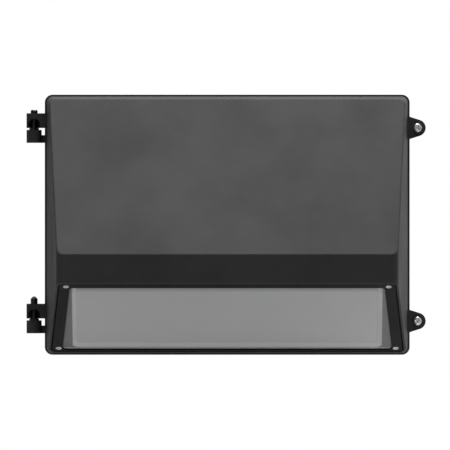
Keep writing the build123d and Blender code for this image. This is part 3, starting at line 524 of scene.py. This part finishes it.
# One piece on each point, turned along the point's axis and then round itself at random.
driven, given, result = node_group(
    "driven_pieces",
    [("Places", "Geometry"), ("Unit", "Object"), ("Size", "Float"), ("Most Turn", "Float"), ("Seed", "Int"),
     ("Finish", "Material")],
)
axis = driven.nodes.new("GeometryNodeInputNamedAttribute")
axis.data_type = "FLOAT_VECTOR"
axis.inputs["Name"].default_value = "axis"
facing = driven.nodes.new("FunctionNodeAlignRotationToVector")
facing.axis = "Z"
join(driven, axis.outputs[0], facing.inputs["Vector"])
angle = driven.nodes.new("FunctionNodeRandomValue")
angle.data_type = "FLOAT"
join(driven, given["Most Turn"], angle.inputs[3])
join(driven, given["Seed"], angle.inputs["Seed"])
round_itself = driven.nodes.new("ShaderNodeCombineXYZ")
join(driven, angle.outputs[1], round_itself.inputs["Z"])
spin = driven.nodes.new("FunctionNodeEulerToRotation")
join(driven, round_itself.outputs[0], spin.inputs[0])
turning = driven.nodes.new("FunctionNodeRotateRotation")
turning.rotation_space = "LOCAL"
join(driven, facing.outputs[0], turning.inputs[0])
join(driven, spin.outputs[0], turning.inputs[1])
standing = driven.nodes.new("GeometryNodeInstanceOnPoints")
join(driven, given["Places"], standing.inputs["Points"])
join(driven, fetched(driven, given["Unit"]), standing.inputs["Instance"])
join(driven, turning.outputs[0], standing.inputs["Rotation"])
join(driven, given["Size"], standing.inputs["Scale"])
join(driven, coated(driven, real(driven, standing.outputs[0]), given["Finish"]), result[0])


def grown(piece, tree, values):
    """Runs a tree on the piece with the given inputs and keeps its plain result."""
    modifier = piece.modifiers.new(tree.name, "NODES")
    modifier.node_group = tree
    for socket in tree.interface.items_tree:
        if socket.in_out == "INPUT" and socket.name in values:
            modifier[socket.identifier] = values[socket.name]
    mesh = plain_copy(piece)
    piece.modifiers.clear()
    piece.data = mesh
    piece.data.name = piece.name
    return piece


def row_of(name, unit, places, axis, finish, body, node, seed):
    """Sets the unit on each place, in millimetres, and fixes the row to a body for its CAD node."""
    points = bpy.data.meshes.new(name)
    points.from_pydata([Vector(place) / 1000 for place in places], [], [])
    axes = [axis] * len(places) if isinstance(axis[0], (int, float)) else axis
    kept = points.attributes.new("axis", "FLOAT_VECTOR", "POINT")
    for item, direction in zip(kept.data, axes):
        item.vector = direction
    values = {"Unit": unit, "Size": 1.0, "Most Turn": 2 * pi, "Seed": seed, "Finish": finish}
    row = grown(linked(name, points), driven, values)
    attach(row, body)
    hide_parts(node)


def on_lens(x, rise, depth):
    """A point over the lens opening, in millimetres, from its middle up the slope and inwards."""
    return lens_middle * 1000 + Vector((x, 0, 0)) + lens_up * rise + lens_in * depth


def four_over_lens(across, up, depth):
    return [on_lens(i * across, j * up, depth) for i in (-1, 1) for j in (-1, 1)]


def pan_screw(name, radius, length, pitch, head, height, bare=0.0, groove=None):
    """A pan-head screw, its recess six tenths of the head's height deep."""
    blank = screw_blank(radius, length, pitch, bare, groove)
    return screw_unit(name, blank, pan_crown(head, height), head, height, 0.6 * height)


zinc = grained_metal("zinc_plate", (0.66, 0.67, 0.68), (0.5, 0.51, 0.53), 0.3)
stainless = grained_metal("stainless_steel", (0.82, 0.82, 0.82), (0.68, 0.68, 0.68), 0.28)
earth_green = grained_metal("green_passivation", (0.05, 0.34, 0.13), (0.03, 0.22, 0.08), 0.34, metallic=0.7)

lens_out = -lens_in
outwards = (0, -1, 0)
board_face, plate_back, tray_face = 35.4, 40.0, 36.2      # behind the lens opening's middle

frame_screw = screw_unit("frame_screw", screw_blank(radius=1.5, length=11.5, pitch=0.6, bare=1.3),
                         crown=[(2.7, -0.12), (2.62, 0.0), (1.3, 0.0)], head=2.75, top=0.0, depth=1.0)
frame_corners = ((144.69, 62.44), (152.02, -62.44))
frame_face = 0.5
frame_places = [on_lens(side * x, rise, frame_face) for side in (-1, 1) for x, rise in frame_corners]
row_of("frame_screws", frame_screw, frame_places, lens_out, stainless, "door",
       "bezel_screws", seed=4)

small = {"radius": 1.5, "pitch": 0.5, "head": 2.8, "height": 1.8}
board_screw = pan_screw("board_screw", length=4.0, **small)
row_of("board_screws", board_screw, four_over_lens(96, 20, board_face), lens_out, zinc, "door",
       "led_board_screws", seed=7)
plate_screw = pan_screw("plate_screw", length=8.0, **small)
row_of("plate_screws", plate_screw, four_over_lens(146.36, 34, plate_back), lens_in, zinc,
       "door", "spreader_screws", seed=11)
clip_screw = pan_screw("clip_screw", length=6.0, **small)
clip_place = (-153.6, -66, 14.5)
row_of("clip_screw_in_place", clip_screw, [clip_place], (1, 0, 0), zinc, "door",
       "cable_clip_screw", seed=2)

box_screw = pan_screw("box_screw", radius=1.9, length=6.0, pitch=0.7, head=3.6, height=2.2)
driver_tabs = [(-66, -7.5, -58), (76, -7.5, -58)]
earth_place = (112, -9.5, -12)
row_of("driver_fixing_screws", box_screw, driver_tabs, outwards, zinc, "wall_box",
       "driver_screws", seed=5)
row_of("earth_screw", box_screw, [earth_place], outwards, earth_green, "wall_box",
       "ground_screw", seed=9)

door_screw = pan_screw("door_screw", radius=2.4, length=20.0, pitch=0.8, head=4.0, height=2.6, bare=14.3,
                       groove=(12.75, 13.85, 2.0))
ear_x, ear_y = 171.8, -53
for name, height, seed in (("upper", 87.5, 3), ("lower", -87.0, 8)):
    row_of(f"captive_screw_{name}", door_screw, [(ear_x, ear_y, height)], outwards, stainless,
           f"{name}_screw", f"door_screw_{name}", seed)

rivet_profile = [(1.9, -4.8), (2.5, -4.7), (2.6, -4.4), (2.6, -3.85), (1.6, -3.8), (1.6, 0.0), (2.6, 0.0),
                 (2.55, 0.35), (2.25, 0.72), (1.7, 0.95), (1.0, 1.0), (0.85, 0.6), (0.3, 0.55)]
shape = bmesh.new()
skin_rings(shape, turned(rivet_profile))
blind_rivet = linked("blind_rivet", settled_mesh("blind_rivet", shape))
row_of("tray_rivets", blind_rivet, four_over_lens(117.2, 20, tray_face), lens_out, plate_metal,
       "door", "reflector_rivets", seed=6)
for unit in (frame_screw, board_screw, plate_screw, clip_screw, box_screw, door_screw, blind_rivet):
    bpy.data.objects.remove(unit)

# --- Driver, connector, clip, washers, reflector and board ------------------------------------------
# The driver and the connector are moulded in white, the clip and washers in black nylon. The
# reflector is folded from white enamelled sheet, and the aluminium board wears a white mask.
mould, into, out = new_group(
    "moulded_skin",
    {"Colour": (0.8, 0.8, 0.8, 1), "Shade": (0.7, 0.7, 0.7, 1), "Grain": 1400.0, "Roughness": 0.45},
    skin_outputs,
)
place = mould.nodes.new("ShaderNodeTexCoord").outputs["Object"]
flow = noise(mould, place, scale=32.0, detail=4.0)
pores = noise(mould, place, into.outputs["Grain"], detail=2.0)
flowed = spread(mould, flow, 0.35, 0.7, 0.0, 1.0)
plastic = blend_colours(mould, flowed, into.outputs["Colour"], into.outputs["Shade"])
join(mould, plastic, out.inputs["Colour"])
rough = arithmetic(mould, "ADD", into.outputs["Roughness"], spread(mould, flow, 0.3, 0.7, -0.06, 0.08))
join(mould, rough, out.inputs["Roughness"])
join(mould, pores, out.inputs["Height"])


def moulded(name, colour, shade, roughness):
    material, tree, shader = new_material(name)
    skin = use_group(tree, mould, Colour=(*colour, 1), Shade=(*shade, 1), Roughness=roughness)
    put_on(tree, shader, skin, strength=0.3, depth=0.00004)
    return material


white_case = moulded("white_case", (0.78, 0.78, 0.76), (0.7, 0.7, 0.68), 0.42)
white_housing = moulded("connector_housing", (0.82, 0.82, 0.8), (0.75, 0.75, 0.73), 0.3)
enamel = moulded("white_enamel", (0.86, 0.86, 0.85), (0.8, 0.8, 0.79), 0.28)
nylon = moulded("black_nylon", (0.03, 0.03, 0.031), (0.05, 0.05, 0.052), 0.5)
board_mask = moulded("white_mask", (0.83, 0.83, 0.81), (0.76, 0.76, 0.74), 0.25)
finish_node("led_driver", white_case)
finish_node("led_connector", white_housing)
finish_node("reflector", enamel)
finish_node("cable_clip", nylon)
finish_node("hinge_washers", nylon)
finish_node("led_board", board_mask)

# --- Light packages ---------------------------------------------------------------------------------
# Three rows of nine: a white moulded body with pads at two sides, in the body's material, and a round
# window of yellow phosphor, soldered to the board.
package_side, window_sides = 5.0, 16


def square_ring(side, height):
    """Points round a square, as many as round the window, in millimetres."""
    ring = []
    for i in range(window_sides):
        turn = 2 * pi * (i + 0.5) / window_sides
        reach = side / 2 / max(abs(cos(turn)), abs(sin(turn)))
        ring.append(Vector((reach * cos(turn), reach * sin(turn), height)) / 1000)
    return ring


shape = bmesh.new()
window_mark = shape.faces.layers.int.new("window")
body_levels = ((package_side - 0.1, 0.0), (package_side - 0.1, 0.9), (package_side - 0.35, 1.18))
window_profile = [(2.1, 1.18), (1.95, 1.0), (1.2, 1.08)]
rings = [square_ring(side, height) for side, height in body_levels]
bands = skin_rings(shape, rings + turned(window_profile, sides=window_sides, start=0.5))
for face in bands[-1] + bands[-2]:
    face[window_mark] = 1
pad_size = Matrix.Diagonal((0.5, 3.4, 0.2, 1))
pad_x, pad_z = 2.25, 0.12
for side in (-1, 1):
    pad_place = Matrix.Translation((side * pad_x / 1000, 0, pad_z / 1000))
    bmesh.ops.create_cube(shape, size=0.001, matrix=pad_place @ pad_size)
package = linked("light_package", settled_mesh("light_package", shape))

rows, given, result = node_group(
    "package_rows",
    [("Unit", "Object"), ("Columns", "Int"), ("Rows", "Int"), ("Column Pitch", "Float"),
     ("Row Pitch", "Float"), ("Body", "Material"), ("Window", "Material")],
)
field = rows.nodes.new("GeometryNodeMeshGrid")
for count, pitch, way in (("Columns", "Column Pitch", "X"), ("Rows", "Row Pitch", "Y")):
    gaps = arithmetic(rows, "SUBTRACT", given[count], 1.0)
    join(rows, given[count], field.inputs[f"Vertices {way}"])
    join(rows, arithmetic(rows, "MULTIPLY", gaps, given[pitch]), field.inputs[f"Size {way}"])
placed = rows.nodes.new("GeometryNodeInstanceOnPoints")
join(rows, field.outputs["Mesh"], placed.inputs["Points"])
join(rows, fetched(rows, given["Unit"]), placed.inputs["Instance"])
marked = rows.nodes.new("GeometryNodeInputNamedAttribute")
marked.data_type = "INT"
marked.inputs["Name"].default_value = "window"
cased = coated(rows, real(rows, placed.outputs[0]), given["Body"])
join(rows, coated(rows, cased, given["Window"], marked.outputs[0]), result[0])

package_body = moulded("package_body", (0.8, 0.8, 0.78), (0.74, 0.74, 0.72), 0.35)
phosphor = moulded("phosphor", (0.82, 0.66, 0.16), (0.7, 0.55, 0.12), 0.25)
packages = grown(linked("light_packages", bpy.data.meshes.new("light_packages")), rows, {
    "Unit": package, "Columns": 9, "Rows": 3, "Column Pitch": 0.019, "Row Pitch": 0.015,
    "Body": package_body, "Window": phosphor})
to_board = Matrix.Translation(on_lens(0, 0, board_face) / 1000) @ Matrix((
    (1, 0, 0, 0), (0, lens_up.y, lens_out.y, 0), (0, lens_up.z, lens_out.z, 0), (0, 0, 0, 1)))
packages.data.transform(to_board)
bpy.data.objects.remove(package)
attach(packages, "door")
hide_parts("led_chips")

# --- Wires ------------------------------------------------------------------------------------------
# Stranded copper in plastic insulation: two supply leads and an earth lead stay in the box, and
# the jacketed light cable crosses to the door beside the hinge, held there by its clip.
wire, given, result = node_group(
    "insulated_wire", [("Route", "Object"), ("Radius", "Float"), ("Finish", "Material")])
rim = wire.nodes.new("GeometryNodeCurvePrimitiveCircle")
rim.inputs["Resolution"].default_value = 16
join(wire, given["Radius"], rim.inputs["Radius"])
drawn = wire.nodes.new("GeometryNodeCurveToMesh")
drawn.inputs["Fill Caps"].default_value = True
join(wire, fetched(wire, given["Route"]), drawn.inputs["Curve"])
join(wire, rim.outputs[0], drawn.inputs["Profile Curve"])
join(wire, coated(wire, real(wire, drawn.outputs[0]), given["Finish"]), result[0])


def laid_wire(name, route, radius, finish, node):
    """A round wire along a smooth spline that rounds off the route's corners, in millimetres."""
    path = bpy.data.curves.new(f"{name}_route", "CURVE")
    path.dimensions = "3D"
    path.resolution_u = 24
    spline = path.splines.new("NURBS")
    spline.points.add(len(route) - 1)
    for point, place in zip(spline.points, route):
        point.co = (*(Vector(place) / 1000), 1)
    spline.order_u = 3
    spline.use_endpoint_u = True
    guide = linked(f"{name}_route", path)
    values = {"Route": guide, "Radius": radius / 1000, "Finish": finish}
    piece = grown(linked(name, bpy.data.meshes.new(name)), wire, values)
    bpy.data.objects.remove(guide)
    smoothed(piece.data, 50)
    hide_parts(node)
    return piece


# The corners of the solids' routes. Only the light cable's differ: one is 3 mm off and one is added,
# both in front of its clip.
black_route = [(70, -17, -48), (92, -17, -48), (104, -18, -22), (96, -19, 4), (78, -20, 20)]
white_route = [(70, -26, -52), (98, -26, -52), (114, -26, -26), (108, -26, 8), (90, -26, 28)]
earth_route = [(70, -15.6, -66), (88, -15.6, -66), (112, -10.6, -45.6), (112, -10.6, -23.6)]
light_route = [on_lens(-90, 0, 50), on_lens(-90, 0, 74), (-128, -98, 8), (-151, -90, 25), (-151, -74, 25),
               (-151, -31, 25), (-149, -21, -30), (-96, -20, -58), (-60, -20, -58)]
black_insulation = moulded("black_insulation", (0.018, 0.018, 0.018), (0.03, 0.03, 0.03), 0.35)
white_insulation = moulded("white_insulation", (0.8, 0.8, 0.78), (0.7, 0.7, 0.68), 0.35)
green_insulation = moulded("green_insulation", (0.03, 0.3, 0.09), (0.02, 0.22, 0.06), 0.35)
jacket = moulded("cable_jacket", (0.035, 0.035, 0.036), (0.055, 0.055, 0.057), 0.5)
lead_radius, cable_radius = 1.2, 2.1
box_leads = (
    ("black_supply_lead", black_route, black_insulation, "black_lead", "supply_lead_black"),
    ("white_supply_lead", white_route, white_insulation, "white_lead", "supply_lead_white"),
    ("earth_lead", earth_route, green_insulation, "green_lead", "ground_lead"),
)
for name, route, insulation, slot, node in box_leads:
    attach(laid_wire(name, route, lead_radius, insulation, node), "wall_box")
light_cable = laid_wire("light_cable", light_route, cable_radius, jacket, "led_cable")
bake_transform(light_cable)

# --- Twist-on connectors ----------------------------------------------------------------------------
# Moulded caps screwed on to the ends of the supply leads, where the building's wires join them:
# a ribbed cone with a smooth skirt round its mouth.
cap_profile = [(1.6, 7.0), (2.4, 6.5), (3.4, 1.0), (6.2, 0.15), (6.7, 0.0), (6.95, 0.25), (6.55, 3.0),
               (6.1, 5.2), (5.35, 6.0), (3.9, 18.5), (3.35, 21.5), (2.6, 23.2), (1.5, 23.9), (0.5, 24.0)]
shape = bmesh.new()
skin_rings(shape, turned(cap_profile, sides=32))
cap_body = linked("cap_body", settled_mesh("cap_body", shape, crease=40))

# A rib's height, root and crest at each of its four levels, in millimetres.
rib_levels = ((6.0, 4.6, 5.0), (7.4, 4.6, 5.85), (18.6, 3.3, 4.2), (21.2, 2.7, 3.2))
rib_rings = []
for height, root, crest in rib_levels:
    corners = ((root, -0.42), (crest, -0.2), (crest, 0.2), (root, 0.42))
    rib_rings.append([Vector((reach, side, height)) / 1000 for reach, side in corners])
shape = bmesh.new()
skin_rings(shape, rib_rings)
cap_rib = linked("cap_rib", settled_mesh("cap_rib", shape))

cap, given, result = node_group(
    "ribbed_cap", [("Body", "Object"), ("Rib", "Object"), ("Ribs", "Int"), ("Finish", "Material")])
circle = cap.nodes.new("GeometryNodeMeshCircle")
join(cap, given["Ribs"], circle.inputs["Vertices"])
index = cap.nodes.new("GeometryNodeInputIndex")
step = arithmetic(cap, "DIVIDE", index.outputs[0], given["Ribs"])
turn_round = cap.nodes.new("ShaderNodeCombineXYZ")
join(cap, arithmetic(cap, "MULTIPLY", step, 2 * pi), turn_round.inputs["Z"])
middle = cap.nodes.new("GeometryNodeSetPosition")
join(cap, circle.outputs[0], middle.inputs["Geometry"])
zero = cap.nodes.new("ShaderNodeCombineXYZ")
join(cap, zero.outputs[0], middle.inputs["Position"])
ribs = cap.nodes.new("GeometryNodeInstanceOnPoints")
join(cap, middle.outputs[0], ribs.inputs["Points"])
join(cap, fetched(cap, given["Rib"]), ribs.inputs["Instance"])
join(cap, turn_round.outputs[0], ribs.inputs["Rotation"])
both = cap.nodes.new("GeometryNodeJoinGeometry")
join(cap, fetched(cap, given["Body"]), both.inputs[0])
join(cap, ribs.outputs[0], both.inputs[0])
join(cap, coated(cap, real(cap, both.outputs[0]), given["Finish"]), result[0])

cap_plastic = moulded("orange_cap", (0.75, 0.3, 0.04), (0.62, 0.24, 0.03), 0.4)
twist_cap = grown(linked("twist_cap", bpy.data.meshes.new("twist_cap")), cap,
                  {"Body": cap_body, "Rib": cap_rib, "Ribs": 14, "Finish": cap_plastic})
lead_ends = [black_route[-2:], white_route[-2:]]
cap_places = [end for before, end in lead_ends]
cap_axes = [(Vector(end) - Vector(before)).normalized() for before, end in lead_ends]
row_of("twist_on_connectors", twist_cap, cap_places, cap_axes, cap_plastic,
       "wall_box", "wire_connectors", seed=3)
for unit in (cap_body, cap_rib, twist_cap):
    bpy.data.objects.remove(unit)
